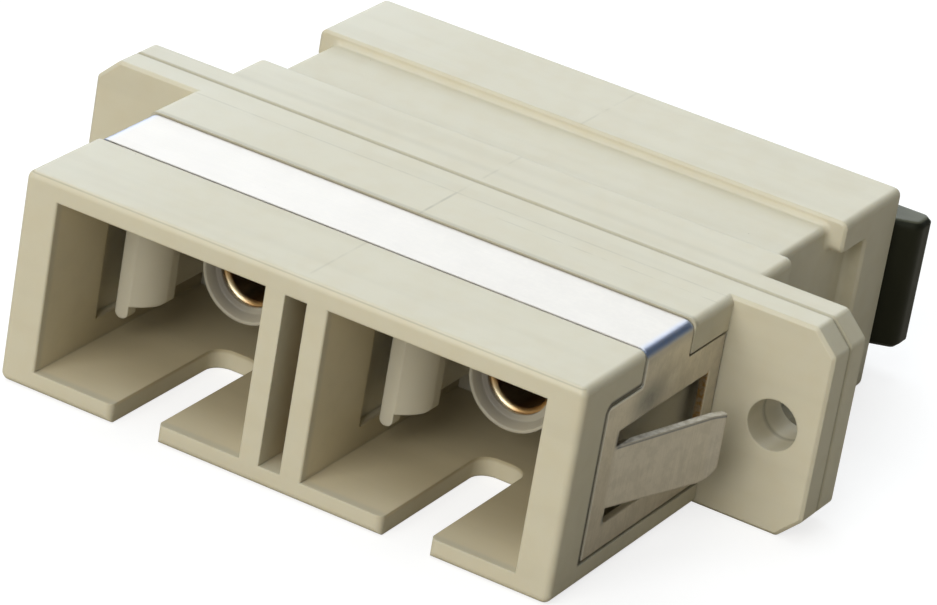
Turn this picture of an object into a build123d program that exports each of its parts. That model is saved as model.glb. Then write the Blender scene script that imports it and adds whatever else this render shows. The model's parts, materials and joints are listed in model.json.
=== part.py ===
from build123d import *
import os

# Duplex SC fibre adapter: two moulded housing halves that meet inside a flange, a folded panel clip,
# four latch inserts, two split sleeves and one duplex dust cap in the rear ports.
# Millimetres. X runs across the two ports, Y from the front mouth to the rear, Z up.
# The origin is on the underside, in the plane of the flange's front face.

# Ports
port_pitch = 12.7
port_width = 9.8
port_height = 7.5
floor_wall = 0.85
roof_wall = 0.95
side_wall = 1.6
partition_gap = 1.0
partition_root = 1.0  # solid left between the partition gap and the flange
keyway_width = 2.2
keyway_end = 4.25  # from the flange's face
keyway_end_radius = 0.8
keyway_mouth_radius = 0.3
port_edge_radius = 0.1

# Housing halves: lengths run from the flange's face towards the mouth
front_length = 12.2
front_rim = 4.95
front_side_rim = 2.2
front_block = 3.2
rear_length = 12.7
rear_rim = 5.4
rear_side_rim = 3.0
rear_block = 2.5
long_edge_radius = 0.35
mouth_edge_radius = 0.3

# Clip recess in each half
top_recess = 0.4
side_recess = 0.8
ledge_height = 0.95  # the ledge that a clip leg stands on
shoulder_height = 7.85
shoulder_radius = 0.35
neck_radius = 0.25
foot_radius = 0.35
step_edge_chamfer = 0.12
recess_edge_radius = 0.3
block_corner_radius = 0.35
gap_edge_chamfer = 0.08  # roof edge along the strap's front
field_foot_radius = 0.25

# Flange
flange_layer = 1.45
ear_reach = 4.7  # how far each ear stands out from the body
ear_chamfer = 1.0
ear_corner_radius = 0.3
flange_edge_chamfer = 0.14
seam_chamfer = 0.13
hole_inset = 2.05  # from the ear's end
hole_diameter = 2.2

# Panel clip, folded from one sheet
sheet = 0.3
strap_sink = 0.07  # strap below the roof
leg_sink = 0.03  # leg inside the side face
fold_radius = 0.45
clip_clearance = 0.14
clip_setback = 0.06  # towards the flange, so that the gap is wider in front
window_front = 8.5
window_rear = 1.1
window_low = 2.2
window_high = 6.3
window_high_radius = 0.75
window_low_radius = 0.32
window_rear_radius = 0.12
tab_low = 2.7
tab_root_low = 2.95  # the tab's lower edge where it leaves the leg
tab_high = 5.65
tab_reach = 5.4  # flared run along Y, from the window's front edge
tab_flare = 1.5  # how far that run stands out
tip_reach = 0.6
tip_flare = 0.3
tab_bend_radius = 1.2
tab_low_corner = 0.9
tab_high_corner = 0.2
tab_root = 0.6  # flat run of the tab ahead of the window
tab_set_back = 0.1  # from the window's edge to the bend

# Latch inserts
plate_margin = 0.35  # how far the plate's pocket is wider than the port, on each side
plate_thickness = 1.2
insert_clearance = 0.05
collar_diameter = 4.15
collar_front = 4.85  # from the flange's face
collar_mouth_bore = 3.9
collar_throat_bore = 3.45
collar_lip_bore = 2.9
collar_lip = 0.15  # thickness of the lip that holds the sleeve back
arm_gap = 0.58  # between an arm and the port's side wall
arm_thickness = 0.6
arm_front = 7.5  # from the flange's face
arm_height = 4.2
arm_root_radius = 0.4
post_height = 5.0
post_depth = 0.6
post_end_radius = 0.27
hook_reach = 0.9
hook_ramp = 1.45
hook_crest = 0.55
hook_height = 3.8
hook_corner_radius = 0.15
hook_bulge = 0.17

# Pockets beside the arms, which let them spring outwards
flex_depth = 0.4
flex_front = 7.95  # from the flange's face
flex_height = 5.5

# Split sleeves
sleeve_length = 11.4
sleeve_outer = 3.2
sleeve_bore = 2.5
sleeve_slit = 0.5
sleeve_chamfer = 0.12
sleeve_clearance = 0.05

# Dust cap
cap_clearance = 0.1
cap_seat = 0.05
cap_plug_depth = 4.6
cap_wall = 0.9
cap_plug_radius = 0.4
grip_height = 5.9
grip_depth = 2.3
grip_rim = 1.35
grip_root = 11.55  # half width where the grip leaves the housing
grip_half_width = 13.6
grip_rear_radius = 0.45
grip_front_radius = 0.5
grip_edge_chamfer = 0.2

# Sizes that follow
housing_height = floor_wall + port_height + roof_wall
half_width = port_pitch / 2 + port_width / 2 + side_wall
port_x = port_pitch / 2
port_z = floor_wall + port_height / 2
arm_outer = port_width / 2 - arm_gap  # from the port's axis
seam = flange_layer  # the plane where the halves meet
ear_x = half_width + ear_reach
hole_x = ear_x - hole_inset
over = 1.0  # how far a cut runs past the face that it opens
tolerance = 0.01  # how near an edge or face lies to the place that picks it

os.makedirs("parts", exist_ok=True)


def edges_at(part, along, across, place):
    """The part's edges that run along one axis and stand at one place on another."""
    return part.edges().filter_by(along).filter_by_position(across, place - tolerance, place + tolerance)


def turned_round(part):
    """The same moulding on the other side of the seam, with its mouth towards +Y."""
    return part.rotate(Axis((0, seam, 0), (0, 0, 1)), 180)


def body_block(length):
    """Right half of a housing body, from inside the flange to the mouth, with its outer edges rounded."""
    with BuildPart() as block:
        with BuildSketch(Plane.XZ.offset(-seam / 2)):
            Rectangle(half_width, housing_height, align=(Align.MIN, Align.MIN))
        extrude(amount=seam / 2 + length)
        fillet(block.edges().filter_by(Axis.Y).group_by(Axis.X)[-1], long_edge_radius)
        mouth = block.faces().sort_by(Axis.Y)[0]
        fillet(mouth.edges().sort_by(Axis.X)[1:], mouth_edge_radius)
    return block.part


def flange_plate():
    """Right half of one flange layer, with the ear's corners cut and its edges broken."""
    with BuildPart() as plate:
        with BuildSketch(Plane.XZ.offset(-seam)) as outline:
            Rectangle(ear_x, housing_height, align=(Align.MIN, Align.MIN))
            chamfer(outline.vertices().group_by(Axis.X)[-1], ear_chamfer)
            fillet(outline.vertices().sort_by(Axis.X)[2:], ear_corner_radius)
        extrude(amount=flange_layer)
        outer_face, seam_face = plate.faces().sort_by(Axis.Y)[0], plate.faces().sort_by(Axis.Y)[-1]
        chamfer(outer_face.edges().sort_by(Axis.X)[1:], flange_edge_chamfer)
        chamfer(seam_face.edges().sort_by(Axis.X)[1:], seam_chamfer)
        with BuildSketch(Plane.XZ.offset(-seam - over)):
            with Locations((hole_x, port_z)):
                Circle(hole_diameter / 2)
        extrude(amount=flange_layer + 2 * over, mode=Mode.SUBTRACT)
    return plate.part


def recess_field(length, rim, side_rim, block, inset=0):
    """Side view of the clip recess: a neck over the roof that widens into a field below the shoulder."""
    top = housing_height + over
    neck, field = rim - length, side_rim - length
    with BuildSketch(Plane.YZ) as outline:
        with BuildLine():
            Polyline(
                (0, ledge_height), (field, ledge_height), (field, shoulder_height), (neck, shoulder_height),
                (neck, top), (-block, top), (-block, shoulder_height), (0, shoulder_height), close=True,
            )
        make_face()
        outer_corner, neck_corner = outline.vertices().filter_by_position(
            Axis.Y, shoulder_height, shoulder_height
        ).sort_by(Axis.X)[:2]
        fillet(outer_corner, shoulder_radius)
        fillet(neck_corner, neck_radius)
        if inset:
            offset(amount=-inset)
    return outline.sketch


def housing_half(length, rim, side_rim, block, open_recess):
    """One housing moulding with its mouth towards -Y. A recess that stays open has softened edges."""
    neck = rim - length
    roof_step = housing_height - top_recess
    side_step = half_width - side_recess
    body, plate = body_block(length), flange_plate()
    field = recess_field(length, rim, side_rim, block)
    with BuildPart() as half:
        add(body)
        add(plate)
        # Clip recess over the roof and down the side
        with BuildSketch(Plane.YZ):
            with Locations(((neck - block) / 2, roof_step)):
                Rectangle(-neck - block, top_recess + over, align=(Align.CENTER, Align.MIN))
        extrude(amount=half_width + over, mode=Mode.SUBTRACT)
        extrude(Location((side_step, 0, 0)) * field, amount=side_recess + over, mode=Mode.SUBTRACT)
        if open_recess:
            fillet(edges_at(half, Axis.Y, Axis.Z, roof_step).sort_by(Axis.X)[-1], recess_edge_radius)
            fillet(edges_at(half, Axis.X, Axis.Y, neck).sort_by(Axis.Z)[0], foot_radius)
            chamfer(edges_at(half, Axis.X, Axis.Y, neck).sort_by(Axis.Z)[-1], step_edge_chamfer)
            fillet(edges_at(half, Axis.Z, Axis.Y, -block).sort_by(Axis.X)[-1], block_corner_radius)
            fillet(edges_at(half, Axis.Z, Axis.Y, side_rim - length).sort_by(Axis.X)[0], field_foot_radius)
        else:
            chamfer(edges_at(half, Axis.X, Axis.Y, neck).sort_by(Axis.Z)[-1], gap_edge_chamfer)
        # Port, the wider pocket that traps the insert's plate, and the pockets beside its arms
        with BuildSketch(Plane.XZ.offset(-seam - over)):
            with Locations((port_x, port_z)):
                Rectangle(port_width, port_height)
        extrude(amount=seam + length + 2 * over, mode=Mode.SUBTRACT)
        with BuildSketch(Plane.XZ.offset(-seam - over)):
            with Locations((port_x, port_z)):
                Rectangle(port_width + 2 * plate_margin, port_height + 2 * plate_margin)
        extrude(amount=plate_thickness + over, mode=Mode.SUBTRACT)
        with BuildSketch(Plane.XZ.offset(-seam)):
            with Locations((port_x, port_z)):
                Rectangle(port_width + 2 * flex_depth, flex_height)
        extrude(amount=seam + flex_front, mode=Mode.SUBTRACT)
        # Gap between the two partition walls
        with BuildSketch(Plane.XZ.offset(partition_root)):
            with Locations((0, port_z)):
                Rectangle(partition_gap, port_height)
        extrude(amount=length, mode=Mode.SUBTRACT)
        # Keyway in the floor, rounded at its end and eased where it meets the mouth
        side, flare = keyway_width / 2, keyway_width / 2 + 2 * keyway_mouth_radius
        with BuildSketch(Plane.XY.offset(-over)):
            with BuildLine():
                FilletPolyline(
                    (port_x - flare, -length), (port_x - side, -length), (port_x - side, -keyway_end),
                    (port_x + side, -keyway_end), (port_x + side, -length), (port_x + flare, -length),
                    radius=[keyway_mouth_radius, keyway_end_radius, keyway_end_radius, keyway_mouth_radius],
                )
                Polyline(
                    (port_x + flare, -length), (port_x + flare, -length - over),
                    (port_x - flare, -length - over), (port_x - flare, -length),
                )
            make_face()
        extrude(amount=over + port_z, mode=Mode.SUBTRACT)
        # Eased edges round the port's mouth
        front_edges = half.edges().filter_by_position(Axis.Y, -length - tolerance, -length + tolerance)
        port_edges = front_edges.filter_by(
            lambda edge: abs(edge.center().X - port_x) < port_width / 2 + tolerance
            and floor_wall + tolerance < edge.center().Z < floor_wall + port_height + tolerance
        )
        fillet(port_edges, port_edge_radius)
        mirror(about=Plane.YZ)
    return half.part


def latch_insert():
    """One latch insert on the X = 0 axis, facing -Y: two hooked arms, the plate and the sleeve collar."""
    arm_inner = arm_outer - arm_thickness
    crest = arm_inner - hook_reach
    plate_face = seam - plate_thickness
    sleeve_seat = seam - sleeve_length / 2 - sleeve_clearance
    seat_radius = sleeve_outer / 2 + sleeve_clearance
    lip_front = sleeve_seat - collar_lip
    arm_middle = arm_inner + arm_thickness / 2
    with BuildPart() as insert:
        # Right arm: the beam, the taller post at its free end, and the hook with its lead-in and square back
        with BuildSketch(Plane.XZ.offset(-plate_face)):
            with Locations((arm_middle, port_z)):
                Rectangle(arm_thickness, arm_height)
        extrude(amount=plate_face + arm_front)
        with BuildSketch(Plane.XZ.offset(arm_front - post_depth)):
            with Locations((arm_middle, port_z)):
                RectangleRounded(arm_thickness, post_height, post_end_radius)
        extrude(amount=post_depth)
        with BuildSketch(Plane.XY.offset(port_z - hook_height / 2)):
            with BuildLine():
                lead_start = (arm_inner, -arm_front)
                lead_end = (crest, -arm_front + hook_ramp)
                SagittaArc(lead_start, lead_end, hook_bulge)
                Polyline(
                    lead_end, (crest, -arm_front + hook_ramp + hook_crest),
                    (arm_middle, -arm_front + hook_ramp + hook_crest),
                    (arm_middle, -arm_front), lead_start,
                )
            make_face()
        extrude(amount=hook_height)
        fillet(edges_at(insert, Axis.Y, Axis.X, crest), hook_corner_radius)
        mirror(about=Plane.YZ)
        # Plate, with its bore for the sleeve
        with BuildSketch(Plane.XZ.offset(-seam)):
            with Locations((0, port_z)):
                Rectangle(
                    port_width + 2 * (plate_margin - insert_clearance),
                    port_height + 2 * (plate_margin - insert_clearance),
                )
                Circle(seat_radius, mode=Mode.SUBTRACT)
        extrude(amount=plate_thickness)
        fillet(edges_at(insert, Axis.Z, Axis.Y, plate_face).sort_by(Axis.X)[1:-1], arm_root_radius)
        # Collar: a turned section whose lip holds the sleeve back
        with BuildSketch(Plane(origin=(0, 0, port_z), x_dir=(0, 1, 0), z_dir=(1, 0, 0))):
            with BuildLine():
                Polyline(
                    (seam, collar_diameter / 2), (-collar_front, collar_diameter / 2),
                    (-collar_front, collar_mouth_bore / 2), (lip_front, collar_throat_bore / 2),
                    (lip_front, collar_lip_bore / 2), (sleeve_seat, collar_lip_bore / 2),
                    (sleeve_seat, seat_radius), (seam, seat_radius),
                    close=True,
                )
            make_face()
        revolve(axis=Axis((0, 0, port_z), (0, 1, 0)))
    return insert.part


def clip_tab():
    """The right-hand tab: a strip lanced out of the leg's window, flared outwards and curled at its tip."""
    leg_middle = half_width - leg_sink - sheet / 2
    root, run_end = -window_front, -window_front + tab_reach
    with BuildPart() as tab:
        with BuildSketch(Plane.XY.offset(tab_low)):
            with BuildLine():
                FilletPolyline(
                    (leg_middle, root - 2 * tab_root), (leg_middle, root - tab_set_back),
                    (leg_middle + tab_flare, run_end),
                    (leg_middle + tab_flare + tip_flare, run_end + tip_reach), radius=tab_bend_radius,
                )
            trace(line_width=sheet)
        extrude(amount=tab_high - tab_low)
        with BuildSketch(Plane.YZ) as side_view:
            with BuildLine():
                Polyline(
                    (root - tab_root, tab_high), (root - tab_root, tab_root_low), (root, tab_root_low),
                    (run_end + tip_reach, tab_low), (run_end + tip_reach, tab_high), close=True,
                )
            make_face()
            low_corner, high_corner = side_view.vertices().group_by(Axis.X)[-1].sort_by(Axis.Y)
            fillet(low_corner, tab_low_corner)
            fillet(high_corner, tab_high_corner)
        extrude(amount=2 * half_width, mode=Mode.INTERSECT)
    return tab.part


with BuildPart() as front_housing:
    add(housing_half(front_length, front_rim, front_side_rim, front_block, open_recess=False))
front_housing.part.label = "front_housing"
export_step(front_housing.part, "parts/front_housing.step")

with BuildPart() as rear_housing:
    add(turned_round(housing_half(rear_length, rear_rim, rear_side_rim, rear_block, open_recess=True)))
rear_housing.part.label = "rear_housing"
export_step(rear_housing.part, "parts/rear_housing.step")

with BuildPart() as mounting_clip:
    # The sheet folded over the housing, seen from the front, then cut to its side view
    with BuildSketch(Plane.XZ) as folded:
        with Locations((0, housing_height - strap_sink)):
            Rectangle(2 * (half_width - leg_sink), 2 * housing_height, align=(Align.CENTER, Align.MAX))
        fillet(folded.vertices().group_by(Axis.Y)[-1], fold_radius)
        offset(amount=-sheet, mode=Mode.SUBTRACT)
    extrude(amount=front_length)
    side_view = recess_field(front_length, front_rim, front_side_rim, front_block, inset=clip_clearance)
    side_view = Location((0, clip_setback, 0)) * side_view
    extrude(side_view, amount=half_width + over, both=True, mode=Mode.INTERSECT)
    with BuildSketch(Plane.YZ) as window:
        with Locations((-window_front, window_low)):
            Rectangle(window_front - window_rear, window_high - window_low, align=(Align.MIN, Align.MIN))
        low_corner, high_corner = window.vertices().group_by(Axis.X)[0].sort_by(Axis.Y)
        fillet(low_corner, window_low_radius)
        fillet(high_corner, window_high_radius)
        fillet(window.vertices().group_by(Axis.X)[-1], window_rear_radius)
    extrude(amount=half_width + over, both=True, mode=Mode.SUBTRACT)
    right_tab = clip_tab()
    add(right_tab)
    mirror(right_tab, about=Plane.YZ)
mounting_clip.part.label = "mounting_clip"
export_step(mounting_clip.part, "parts/mounting_clip.step")

port_sides = (("left", -port_x), ("right", port_x))
front_insert = latch_insert()
for end, insert in (("front", front_insert), ("rear", turned_round(front_insert))):
    for side, x in port_sides:
        with BuildPart() as latch_insert_piece:
            with Locations((x, 0, 0)):
                add(insert)
        latch_insert_piece.part.label = "latch_insert_" + end + "_" + side
        export_step(latch_insert_piece.part, "parts/latch_insert_" + end + "_" + side + ".step")

for side, x in port_sides:
    with BuildPart() as alignment_sleeve:
        # A split tube centred on the seam, with its slit upwards
        with BuildSketch(Plane.XZ.offset(-seam - sleeve_length / 2)):
            with Locations((x, port_z)):
                Circle(sleeve_outer / 2)
                Circle(sleeve_bore / 2, mode=Mode.SUBTRACT)
                Rectangle(sleeve_slit, sleeve_outer, align=(Align.CENTER, Align.MIN), mode=Mode.SUBTRACT)
        extrude(amount=sleeve_length)
        bore_edges = alignment_sleeve.edges().filter_by(GeomType.CIRCLE).group_by(SortBy.RADIUS)[0]
        chamfer(bore_edges, sleeve_chamfer)
    alignment_sleeve.part.label = "alignment_sleeve_" + side
    export_step(alignment_sleeve.part, "parts/alignment_sleeve_" + side + ".step")

with BuildPart() as dust_cap:
    cap_face = seam + flange_layer + rear_length + cap_seat
    rim_start, cap_rear = cap_face + grip_depth - grip_rim, cap_face + grip_depth
    # Grip: widens from the housing to a straight rim
    with BuildSketch(Plane.XY.offset(port_z - grip_height / 2)):
        with BuildLine():
            Polyline(
                (-grip_root, cap_face), (grip_root, cap_face), (grip_half_width, rim_start),
                (grip_half_width, cap_rear), (-grip_half_width, cap_rear), (-grip_half_width, rim_start),
                close=True,
            )
        make_face()
    extrude(amount=grip_height)
    fillet(edges_at(dust_cap, Axis.Z, Axis.Y, rim_start), grip_front_radius)
    fillet(edges_at(dust_cap, Axis.Z, Axis.Y, cap_rear), grip_rear_radius)
    # The grip's upper and lower edges, apart from the ones against the housing
    grip_edges = dust_cap.faces().sort_by(Axis.Z)[0].edges() + dust_cap.faces().sort_by(Axis.Z)[-1].edges()
    chamfer(grip_edges.filter_by(lambda edge: edge.center().Y > cap_face + tolerance), grip_edge_chamfer)
    # One hollow plug for each port
    with BuildSketch(Plane.XZ.offset(-cap_face)):
        with Locations((-port_x, port_z), (port_x, port_z)):
            RectangleRounded(port_width - 2 * cap_clearance, port_height - 2 * cap_clearance, cap_plug_radius)
    extrude(amount=cap_plug_depth)
    hollow_margin = cap_clearance + cap_wall
    with BuildSketch(Plane.XZ.offset(cap_wall - cap_face)):
        with Locations((-port_x, port_z), (port_x, port_z)):
            Rectangle(port_width - 2 * hollow_margin, port_height - 2 * hollow_margin)
    extrude(amount=cap_plug_depth, mode=Mode.SUBTRACT)
dust_cap.part.label = "dust_cap"
export_step(dust_cap.part, "parts/dust_cap.step")
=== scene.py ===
"""Looks of a duplex fibre adapter: moulded beige housing, steel panel clip, bronze sleeves, black dust cap.

Everything is in metres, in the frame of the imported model: X across the ports, Y from the open front ports
to the capped rear ones, Z up. The object's own measures and the patterns on it are in millimetres.
"""
import json
import math

import bpy
from mathutils import Matrix, Vector

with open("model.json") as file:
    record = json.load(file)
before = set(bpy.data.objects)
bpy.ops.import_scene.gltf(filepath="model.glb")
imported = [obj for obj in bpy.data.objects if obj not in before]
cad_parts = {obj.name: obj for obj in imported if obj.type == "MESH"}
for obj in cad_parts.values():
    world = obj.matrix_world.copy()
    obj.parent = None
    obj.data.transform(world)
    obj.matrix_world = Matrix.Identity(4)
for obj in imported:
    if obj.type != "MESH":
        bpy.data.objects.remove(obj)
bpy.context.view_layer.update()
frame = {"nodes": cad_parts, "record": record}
MM = 0.001

# Camera, as the photograph was taken
CAMERA_AZIMUTH = 26.365
CAMERA_ELEVATION = 24.545
CAMERA_ROLL = 9.831
CAMERA_DISTANCE = 211.54 * MM
CAMERA_TARGET = Vector((0, 0, 4.65 * MM))
FOCAL_PIXELS = 5178.8
FRAME_WIDTH, FRAME_HEIGHT = 937, 605
AXIS_PIXEL = (439.5, 293.36)  # where the lens axis meets the picture
SENSOR_WIDTH = 36

# Heights and planes of the housing
ROOF = 9.3
MOUTH = -12.2  # plane of the front ports' mouth
FLANGE_FRONT, SEAM, FLANGE_REAR = 0.0, 1.45, 2.9
BLOCK_REAR = 5.4  # of the raised roof behind the flange
SIDE_FACE = 12.85
MIDDLE_Y, HALF_LENGTH = 0.975, 13.175  # halfway between the two mouths, and from there to each
PORT_AXIS_X, PORT_AXIS_Z = 6.35, 4.6
PORT_HALF_WIDTH, PORT_HALF_HEIGHT = 4.9, 3.75
SLOT_HALF_WIDTH = 0.5  # of the slot between the ports
COLLAR_BORE = 1.95  # radius of a collar's mouth

# The clip, and its recess in the side of the housing
LEG_FACE = 12.82
STRAP_REAR = -3.2
RECESS_FRONT, NECK_FRONT, SHOULDER, LEDGE, CORNER = -10.0, -7.25, 7.85, 0.95, 0.35
RECESS_FLOOR = 12.05
WINDOW_FRONT, WINDOW_REAR, WINDOW_LOW, WINDOW_HIGH = -8.5, -1.1, 2.2, 6.3
TAB_LOW, TAB_TOP = 2.7, 5.65

GRIP_TOP = 7.55  # upper face of the cap's bar


class Value:
    """A number, colour or vector that varies over a surface. Arithmetic on it adds Math nodes."""

    def __init__(self, finish, socket):
        self.finish, self.socket = finish, socket

    def __add__(self, other):
        return self.finish.maths("ADD", self, other)

    def __radd__(self, other):
        return self.finish.maths("ADD", other, self)

    def __sub__(self, other):
        return self.finish.maths("SUBTRACT", self, other)

    def __rsub__(self, other):
        return self.finish.maths("SUBTRACT", other, self)

    def __mul__(self, other):
        return self.finish.maths("MULTIPLY", self, other)

    def __rmul__(self, other):
        return self.finish.maths("MULTIPLY", other, self)

    def __abs__(self):
        return self.finish.maths("ABSOLUTE", self)

    def distance(self, other):
        """The length of the vector with this and another number as its sides."""
        return self.finish.maths("SQRT", self * self + other * other)

    def rise(self, low, high):
        """0 below low, 1 above high and a smooth rise between them. Low may be above high."""
        ends = {"Value": self, "From Min": low, "From Max": high}
        return self.finish.node("ShaderNodeMapRange", {"interpolation_type": "SMOOTHSTEP"}, ends)

    def band(self, middle, half_width):
        """1 at the middle, falling smoothly to 0 at half_width from it."""
        return abs(self - middle).rise(half_width, 0.0)


class Finish:
    """One material: a Principled shader whose fixed numbers stand on its own sockets."""

    def __init__(self, name, **fixed):
        self.material = bpy.data.materials.new(name)
        self.material.use_nodes = True
        self.tree = self.material.node_tree
        self.tree.nodes.clear()
        shader = self.node("ShaderNodeBsdfPrincipled", {}, {k.replace("_", " "): v for k, v in fixed.items()})
        self.node("ShaderNodeOutputMaterial", {}, {"Surface": shader})
        self.shader = shader.socket.node

    def node(self, kind, settings, inputs, output=0):
        """Adds a node, sets its settings, then its sockets' values or links, and returns one output."""
        made = self.tree.nodes.new(kind)
        for name, setting in settings.items():
            setattr(made, name, setting)
        for name, value in inputs.items():
            if isinstance(value, Value):
                self.tree.links.new(value.socket, made.inputs[name])
            else:
                made.inputs[name].default_value = value
        return Value(self, made.outputs[output]) if made.outputs else None

    def maths(self, operation, *operands):
        """The result of a Math node."""
        return self.node("ShaderNodeMath", {"operation": operation}, dict(enumerate(operands)))

    def place(self, scale=(1, 1, 1)):
        """The point on the surface in millimetres, stretched by scale along each axis."""
        point = self.node("ShaderNodeTexCoord", {}, {}, "Object")
        stretch = tuple(s / MM for s in scale)
        return self.node("ShaderNodeVectorMath", {"operation": "MULTIPLY"}, {0: point, 1: stretch})

    def axis(self, name):
        """One coordinate of the point, in millimetres."""
        return self.node("ShaderNodeSeparateXYZ", {}, {0: self.place()}, name)

    def axes(self):
        """All three coordinates of the point, in millimetres."""
        return self.axis("X"), self.axis("Y"), self.axis("Z")

    def from_port_axis(self):
        """How far the point lies to the right of and above the nearer port's axis, in millimetres."""
        x = self.axis("X")
        return x - PORT_AXIS_X * self.maths("SIGN", x), self.axis("Z") - PORT_AXIS_Z

    def from_recess_edge(self):
        """How far the point lies outside the outline of the clip's recess, in millimetres.

        The outline is seen from the side: the field's front and top with a rounded corner between them,
        joined by a rounded inner corner to the neck, which runs up over the roof.
        """
        y, z = self.axis("Y"), self.axis("Z")
        ahead = self.maths("MAXIMUM", RECESS_FRONT + CORNER - y, 0.0)
        above = self.maths("MAXIMUM", z - (SHOULDER - CORNER), 0.0)
        field = ahead.distance(above) - CORNER
        return self.maths("SMOOTH_MIN", field, NECK_FRONT - y, 0.2)

    def noise(self, scale, detail=2.0, stretch=(1, 1, 1), roughness=0.5):
        """Soft noise from 0 to 1 with this many cells to the millimetre."""
        inputs = {"Vector": self.place(stretch), "Scale": scale, "Detail": detail, "Roughness": roughness}
        return self.node("ShaderNodeTexNoise", {}, inputs)

    def specks(self, scale, size, share):
        """1 inside scattered round specks, one in each cell where a random number is under share."""
        inputs = {"Vector": self.place(), "Scale": scale}
        near = self.node("ShaderNodeTexVoronoi", {}, inputs)
        cell = self.node("ShaderNodeTexVoronoi", {}, inputs, "Color")
        chance = self.node("ShaderNodeSeparateColor", {}, {0: cell})
        return near.rise(size, 0.4 * size) * chance.rise(share, 0.98 * share)

    def mix(self, amount, first, second):
        """A colour between two others.

        The node's sockets 0, 6 and 7 are its factor and colours, and its output 2 is the colour.
        """
        return self.node("ShaderNodeMix", {"data_type": "RGBA"}, {0: amount, 6: first, 7: second}, 2)

    def bump(self, height, distance, under):
        """A normal raised by a height from 0 to 1 times a distance in millimetres, over another normal."""
        inputs = {"Height": height, "Distance": distance * MM, "Strength": 1.0, "Normal": under}
        return self.node("ShaderNodeBump", {}, inputs)

    def soft_edges(self, radius):
        """The normal that a rounding of this radius would give each sharp edge."""
        return self.node("ShaderNodeBevel", {"samples": 4}, {"Radius": radius * MM})

    def crevices(self, reach):
        """1 deep inside a gap or corner, 0 on an open face, where reach is how far the corner is felt."""
        openness = self.node("ShaderNodeAmbientOcclusion", {"samples": 6}, {"Distance": reach * MM}, "AO")
        return openness.rise(0.55, 0.05)

    def link(self, **sockets):
        """Feeds values into the shader's sockets."""
        for name, value in sockets.items():
            self.tree.links.new(value.socket, self.shader.inputs[name.replace("_", " ")])


def port_painted_shade(finish, base):
    """The base colour with painted shade: warmer and darker down the ports and the slot between them.

    Light that has crossed a port several times comes out warmer.
    """
    across, above = finish.from_port_axis()
    depth = HALF_LENGTH - abs(finish.axis("Y") - MIDDLE_Y)
    level = abs(above).rise(PORT_HALF_HEIGHT + 0.20, PORT_HALF_HEIGHT + 0.05)
    inside = abs(across).rise(PORT_HALF_WIDTH + 0.20, PORT_HALF_WIDTH + 0.05) * level * depth.rise(0.2, 0.6)
    # Painted shade: the faces inside a port turn darker and warmer with depth
    deep = finish.mix(depth.rise(0.4, 5.7), (0.750, 0.665, 0.470, 1), (0.450, 0.385, 0.245, 1))
    base = finish.mix(0.85 * inside, base, deep)
    # Painted shade: the slot's walls turn brown and darker with depth
    slot = abs(finish.axis("X")).rise(SLOT_HALF_WIDTH + 0.25, SLOT_HALF_WIDTH + 0.10) * level
    return finish.mix(0.5 * slot * depth.rise(0.1, 2.0), base, (0.42, 0.31, 0.15, 1))


def mould_marks_and_shade(finish, roof):
    """Lines and streaks on the roofs from the mould, painted shade on the step behind the strap, and grime in
    the seam's groove.
    """
    x, y, z = finish.axes()
    broken = finish.noise(1.1, 2).rise(0.35, 0.60)
    # The knit line between the ports, unbroken between the strap and the flange
    whole = y.rise(STRAP_REAR + 0.3, STRAP_REAR + 0.6) * y.rise(FLANGE_FRONT - 0.1, FLANGE_FRONT - 0.4)
    knit = x.band(0.1, 0.10) * roof * (0.4 * broken + 0.6 * whole)
    # Lines beside the flange and behind the raised roof, and one that crosses the right half only
    beside = y.band(FLANGE_FRONT - 0.2, 0.10) * (0.5 + 0.5 * broken)
    beside = beside + 0.5 * y.band(FLANGE_REAR - 0.05, 0.40) + 0.4 * y.band(BLOCK_REAR + 0.3, 0.14)
    beside = roof * (beside + y.band(FLANGE_FRONT - 1.06, 0.08) * x.rise(1.0, 3.0) * broken)
    # Painted shade on the step face behind the strap
    behind_strap = y.band(STRAP_REAR + 0.10, 0.24) * z.rise(ROOF - 0.35, ROOF - 0.25)
    streaks = finish.noise(1.0, 2, (0.06, 0.9, 0.9)).rise(0.45, 0.75)
    front_edge = z.band(ROOF - 0.07, 0.035) * y.rise(MOUTH + 0.28, MOUTH + 0.22)
    lines = 0.36 * knit + 0.18 * beside + 0.30 * behind_strap + 0.05 * streaks + 0.32 * front_edge
    return lines + 0.42 * y.band(SEAM, 0.24)


def recess_painted_shade(finish):
    """Painted shade on the floor of the clip's recess, thickest ahead, and along the front of its outline."""
    x, y, z = finish.axes()
    side = abs(x)
    floor = side.rise(RECESS_FLOOR - 0.15, RECESS_FLOOR - 0.05)
    floor = floor * side.rise(RECESS_FLOOR + 0.40, RECESS_FLOOR + 0.20)
    floor = floor * y.rise(RECESS_FRONT - 0.9, RECESS_FRONT - 0.7) * y.rise(FLANGE_FRONT, FLANGE_FRONT - 0.1)
    floor = floor * z.rise(LEDGE - 0.05, LEDGE + 0.05) * z.rise(SHOULDER + 0.25, SHOULDER + 0.15)
    lip = finish.from_recess_edge().band(0.05, 0.17) * side.rise(SIDE_FACE - 0.10, SIDE_FACE - 0.02)
    lip = lip * z.rise(LEDGE - 0.05, LEDGE + 0.15) * y.rise(-6.0, -6.5)
    return floor * (0.2 + 0.6 * y.rise(-6.5, -8.3)) + lip


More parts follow.
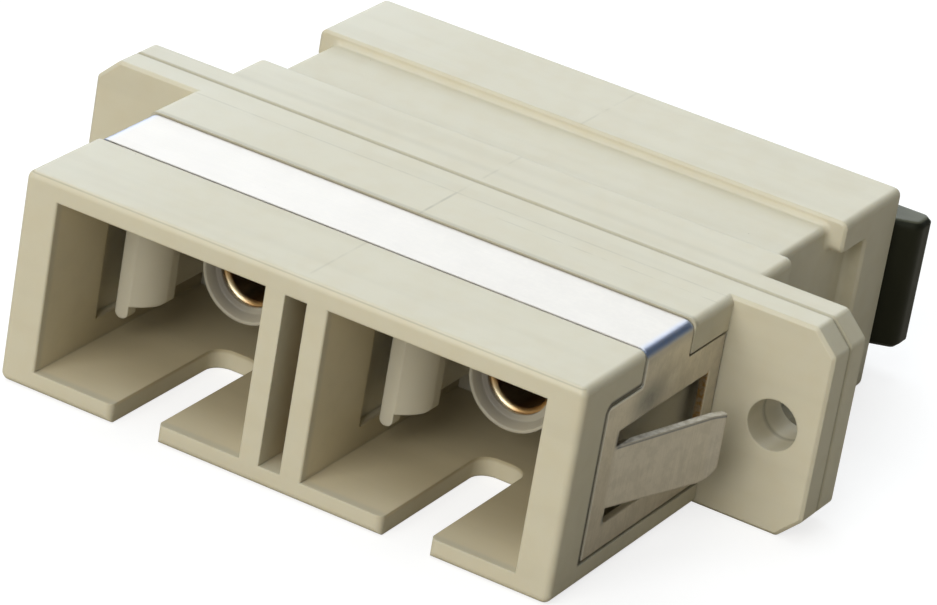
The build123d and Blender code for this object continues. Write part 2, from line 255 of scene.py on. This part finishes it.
def housing_plastic():
    """Beige moulded plastic: slow changes of tone, a fine matt grain, mould lines, specks of grime, and
    painted shade down the ports, in crevices and in the clip's recess.
    """
    finish = Finish("housing_plastic", IOR=1.48, Subsurface_Weight=0.12, Subsurface_Scale=0.5 * MM,
                    Subsurface_Radius=(1.0, 0.75, 0.4))
    slow = finish.noise(0.18, 3)
    patchy = finish.noise(0.9, 3)
    base = finish.mix(slow, (0.622, 0.575, 0.436, 1), (0.654, 0.609, 0.470, 1))
    base = finish.mix(patchy.rise(0.35, 0.75) * 0.35, base, (0.615, 0.548, 0.390, 1))
    base = port_painted_shade(finish, base)
    # The left end of the roofs is paler
    roof = finish.axis("Z").rise(ROOF - 0.04, ROOF - 0.01)
    base = finish.mix(0.5 * roof * finish.axis("X").rise(-5.0, -13.0), base, (0.720, 0.690, 0.580, 1))
    crevice = finish.crevices(0.45)
    # Mould lines and specks of grime, with painted shade in crevices and on the step behind the strap
    marks_and_shade = mould_marks_and_shade(finish, roof) + 0.5 * crevice + 0.5 * finish.specks(1.3, 0.05, 0.04)
    colour = finish.mix(marks_and_shade, base, (0.165, 0.150, 0.088, 1))
    # Painted shade in the clip's recess and along its outline, nearly black
    colour = finish.mix(recess_painted_shade(finish), colour, (0.03, 0.028, 0.02, 1))
    rough = 0.36 + 0.10 * patchy + 0.12 * crevice
    height = 0.6 * finish.noise(9, 3) + 0.4 * finish.noise(2.2, 2)
    normal = finish.bump(height, 0.005, finish.soft_edges(0.10))
    finish.link(Base_Color=colour, Roughness=rough, Normal=normal)
    return finish.material


def insert_plastic():
    """The inserts' natural plastic: greyer and glossier than the housing, with painted shade inside the
    collars and in corners.
    """
    finish = Finish("insert_plastic", IOR=1.5, Subsurface_Weight=0.2, Subsurface_Scale=0.6 * MM,
                    Subsurface_Radius=(1.0, 0.85, 0.6))
    slow = finish.noise(0.3, 2)
    colour = finish.mix(slow, (0.595, 0.560, 0.455, 1), (0.645, 0.610, 0.500, 1))
    across, above = finish.from_port_axis()
    radius = across.distance(above)
    # Painted shade in the collar's throat, deepest on its left
    throat = radius.rise(COLLAR_BORE + 0.4, COLLAR_BORE - 0.4) * (0.3 + 0.7 * across.rise(1.2, -1.2))
    colour = finish.mix(0.9 * throat, colour, (0.17, 0.155, 0.14, 1))
    # Painted shade in corners and gaps, a little brown
    colour = finish.mix(0.5 * finish.crevices(0.3), colour, (0.18, 0.14, 0.08, 1))
    rough = 0.26 + 0.10 * finish.noise(0.8, 2)
    normal = finish.bump(finish.noise(6, 2), 0.003, finish.soft_edges(0.10))
    finish.link(Base_Color=colour, Roughness=rough, Normal=normal)
    return finish.material


def clip_steel():
    """Rolled spring steel: a clean strap, duller legs with fine upright lines and blotches, and cut edges,
    with painted highlights, a painted reflection and painted shade.
    """
    finish = Finish("clip_steel")
    x, y, z = finish.axes()
    side = abs(x)
    lines = finish.noise(1.0, 4, (0.6, 22, 0.6))
    blotches = finish.noise(0.7, 3)
    mottle = finish.noise(4.5, 3)
    leg = finish.mix(blotches, (0.650, 0.600, 0.520, 1), (0.760, 0.710, 0.625, 1))
    leg = finish.mix(lines.rise(0.35, 0.70) * 0.22, leg, (0.50, 0.46, 0.40, 1))
    # On the leg: painted shade in a dull patch above the window, and a bright patch behind it
    dull = y.band(-6.3, 2.1) * z.band(6.9, 1.25)
    leg = finish.mix(dull, leg, (0.25, 0.25, 0.235, 1))
    leg = finish.mix(0.5 * y.band(-4.4, 0.9) * z.band(7.2, 0.5), leg, (0.95, 0.91, 0.82, 1))
    # The strap is paler towards its left end, and the fold has a painted blue reflection
    paler = 0.4 * blotches + 0.6 * x.rise(11.0, -11.0)
    strap = finish.mix(paler, (0.505, 0.472, 0.438, 1), (0.578, 0.545, 0.515, 1))
    colour = finish.mix(z.rise(ROOF - 0.9, ROOF - 0.4), leg, strap)
    fold = z.band(ROOF - 0.22, 0.24) * side.rise(LEG_FACE - 0.6, LEG_FACE - 0.3)
    colour = finish.mix(0.9 * fold, colour, (0.42, 0.56, 0.88, 1))
    colour = finish.mix(mottle.rise(0.35, 0.75) * 0.22, colour, (0.60, 0.56, 0.50, 1))
    clouds = finish.noise(1.6, 4, roughness=0.65).rise(0.42, 0.62) * z.rise(ROOF - 0.3, ROOF - 0.8)
    colour = finish.mix(0.22 * clouds, colour, (0.40, 0.38, 0.33, 1))
    # Painted highlight: the cut edges of the leg and of the tab's top, and a line beside the window's rear
    # edge, made pale and less metallic
    grain = finish.noise(7, 3).rise(0.38, 0.62)
    on_tab = side.rise(LEG_FACE + 0.01, LEG_FACE + 0.06)
    leg_edge = finish.from_recess_edge().rise(-0.31, -0.22) * z.rise(ROOF - 0.3, ROOF - 0.5)
    tab_edge = z.rise(TAB_TOP - 0.03, TAB_TOP - 0.01) * z.rise(TAB_TOP + 0.1, TAB_TOP + 0.05) * on_tab
    in_window = z.rise(WINDOW_LOW - 0.2, WINDOW_LOW + 0.1) * z.rise(WINDOW_HIGH + 0.15, WINDOW_HIGH - 0.05)
    beside_window = y.band(WINDOW_REAR + 0.12, 0.10) * in_window
    pale = 0.8 * leg_edge + tab_edge * (0.45 + 0.55 * grain) + beside_window * (0.3 + 0.5 * grain)
    colour = finish.mix(pale, colour, (0.86, 0.82, 0.72, 1))
    # Brown: the window's rear edge itself
    rear_cut = y.band(WINDOW_REAR - 0.03, 0.12) * in_window
    colour = finish.mix(rear_cut * (0.5 + 0.5 * grain), colour, (0.50, 0.28, 0.08, 1))
    # Painted shade: a dark line under the tab's top edge, and the window's front edge above and below the tab
    under_edge = z.band(TAB_TOP - 0.10, 0.07) * on_tab
    front_cut = z.band(TAB_TOP + 0.25, 0.5) + z.band(TAB_LOW - 0.25, 0.4)
    front_cut = y.band(WINDOW_FRONT + 0.05, 0.30) * front_cut
    colour = finish.mix(0.8 * front_cut + 0.65 * under_edge, colour, (0.07, 0.10, 0.15, 1))
    # Painted shade in crevices, except on the leg's edge, with specks of dirt
    crevice_shade = 0.85 * finish.crevices(0.30) * (1 - leg_edge)
    colour = finish.mix(0.5 * finish.specks(0.9, 0.05, 0.08) + crevice_shade, colour, (0.12, 0.10, 0.07, 1))
    rough = 0.24 + 0.14 * lines + 0.12 * blotches
    normal = finish.bump(0.6 * lines + 0.4 * mottle, 0.005, finish.soft_edges(0.12))
    finish.link(Base_Color=colour, Roughness=rough, Metallic=1 - 0.9 * pale, Normal=normal)
    return finish.material


def sleeve_bronze():
    """Phosphor bronze, drawn along its length, with a painted highlight low on its left and painted shade in
    its upper part.
    """
    finish = Finish("sleeve_bronze", Metallic=1.0)
    lines = finish.noise(1.0, 3, (14, 0.5, 14))
    colour = finish.mix(lines, (0.72, 0.43, 0.18, 1), (0.88, 0.58, 0.28, 1))
    across, above = finish.from_port_axis()
    # Painted highlight low on the sleeve's left
    painted_glint = (across + 0.75).distance(above + 1.1).rise(0.95, 0.25)
    colour = finish.mix(painted_glint, colour, (1.0, 0.86, 0.60, 1))
    # Painted shade over the sleeve's upper part
    colour = finish.mix(0.8 * above.rise(-0.7, 0.3), colour, (0.12, 0.075, 0.035, 1))
    rough = 0.26 + 0.12 * lines
    finish.link(Base_Color=colour, Roughness=rough, Normal=finish.bump(lines, 0.002, finish.soft_edges(0.18)))
    return finish.material


def cap_plastic():
    """Soft black plastic with a fine grain and an olive cast, paler on the upper face of its bar."""
    finish = Finish("cap_plastic", IOR=1.5, Specular_IOR_Level=0.30, Specular_Tint=(0.98, 1.0, 0.80, 1.0))
    slow = finish.noise(0.5, 3)
    colour = finish.mix(slow, (0.005, 0.006, 0.002, 1), (0.012, 0.012, 0.006, 1))
    paler_top = finish.axis("Z").rise(GRIP_TOP - 0.08, GRIP_TOP - 0.01)
    colour = finish.mix(paler_top * (0.5 + 0.5 * slow), colour, (0.11, 0.11, 0.07, 1))
    colour = finish.mix(finish.specks(1.1, 0.05, 0.05) * 0.6, colour, (0.10, 0.09, 0.06, 1))
    rough = 0.38 + 0.14 * finish.noise(1.2, 3)
    normal = finish.bump(finish.noise(10, 2), 0.004, finish.soft_edges(0.28))
    finish.link(Base_Color=colour, Roughness=rough, Normal=normal)
    return finish.material


def floor_paint():
    """A board that the camera sees lit up to white. Bounced light meets it darker and a little warmer."""
    finish = Finish("floor_paint", Roughness=0.9, Emission_Strength=1.0)
    seen = finish.node("ShaderNodeLightPath", {}, {}, "Is Camera Ray")
    finish.link(Base_Color=finish.mix(seen, (0.42, 0.39, 0.33, 1), (0.34, 0.34, 0.34, 1)),
                Emission_Color=finish.mix(seen, (0.040, 0.033, 0.018, 1), (0.76, 0.76, 0.76, 1)))
    return finish.material


def camera_axes():
    """The camera's right, up and back directions, from its azimuth, elevation and roll."""
    azimuth, elevation, roll = (math.radians(v) for v in (CAMERA_AZIMUTH, CAMERA_ELEVATION, CAMERA_ROLL))
    back = Vector((math.sin(azimuth) * math.cos(elevation), -math.cos(azimuth) * math.cos(elevation),
                   math.sin(elevation)))
    level = Vector((math.cos(azimuth), math.sin(azimuth), 0))
    upright = back.cross(level)
    right = level * math.cos(roll) + upright * math.sin(roll)
    up = upright * math.cos(roll) - level * math.sin(roll)
    return right, up, back


def make_camera():
    """The photograph's camera. Its lens axis lies beside the picture's middle, so the lens is shifted."""
    right, up, back = camera_axes()
    data = bpy.data.cameras.new("camera")
    data.sensor_width = SENSOR_WIDTH
    data.lens = FOCAL_PIXELS / FRAME_WIDTH * SENSOR_WIDTH
    data.shift_x = (FRAME_WIDTH / 2 - AXIS_PIXEL[0]) / FRAME_WIDTH
    data.shift_y = (AXIS_PIXEL[1] - FRAME_HEIGHT / 2) / FRAME_WIDTH
    data.clip_start, data.clip_end = 0.01, 20
    camera = bpy.data.objects.new("camera", data)
    turn = Matrix((right, up, back)).transposed().to_4x4()
    camera.matrix_world = Matrix.Translation(CAMERA_TARGET + back * CAMERA_DISTANCE) @ turn
    bpy.context.scene.collection.objects.link(camera)
    bpy.context.scene.camera = camera


def soft_box(name, direction, distance, size, energy, colour):
    """A square soft light that faces the object from a direction."""
    data = bpy.data.lights.new(name, "AREA")
    data.shape, data.size, data.energy, data.color = "SQUARE", size, energy, colour
    light = bpy.data.objects.new(name, data)
    toward = Vector(direction).normalized()
    light.rotation_euler = toward.to_track_quat("Z", "Y").to_euler()
    light.location = toward * distance
    bpy.context.scene.collection.objects.link(light)


def make_floor():
    """A wide board, set just below the object so that the two surfaces don't share a plane."""
    half, level = 3.0, -0.02 * MM
    mesh = bpy.data.meshes.new("floor")
    corners = [(-half, -half, level), (half, -half, level), (half, half, level), (-half, half, level)]
    mesh.from_pydata(corners, [], [(0, 1, 2, 3)])
    mesh.materials.append(floor_paint())
    floor = bpy.data.objects.new("floor", mesh)
    bpy.context.scene.collection.objects.link(floor)


def make_world(strength, colour):
    """A dim even room."""
    world = bpy.data.worlds.new("room")
    world.use_nodes = True
    background = world.node_tree.nodes["Background"]
    background.inputs["Color"].default_value = (*colour, 1)
    background.inputs["Strength"].default_value = strength
    bpy.context.scene.world = world


make_camera()
make_world(strength=0.11, colour=(0.85, 0.93, 1.0))
make_floor()
soft_box("front", (-0.05, -0.90, 0.50), distance=1.2, size=0.9, energy=11.1, colour=(1.0, 0.98, 0.925))
soft_box("top", (-0.34, 0.05, 1.0), distance=1.2, size=1.1, energy=8.1, colour=(0.885, 0.955, 1.0))
soft_box("back", (-0.40, 0.80, 0.42), distance=1.2, size=1.0, energy=6.0, colour=(0.92, 0.97, 1.0))
bpy.context.scene.view_settings.view_transform = "Standard"

finishes = {
    "housing_plastic": housing_plastic(),
    "insert_plastic": insert_plastic(),
    "clip_steel": clip_steel(),
    "sleeve_bronze": sleeve_bronze(),
    "cap_plastic": cap_plastic(),
}
for subpart in frame["record"]["subparts"]:
    node = frame["nodes"][subpart["node"]]
    node.data.materials.clear()
    node.data.materials.append(finishes[subpart["material_slot"]])
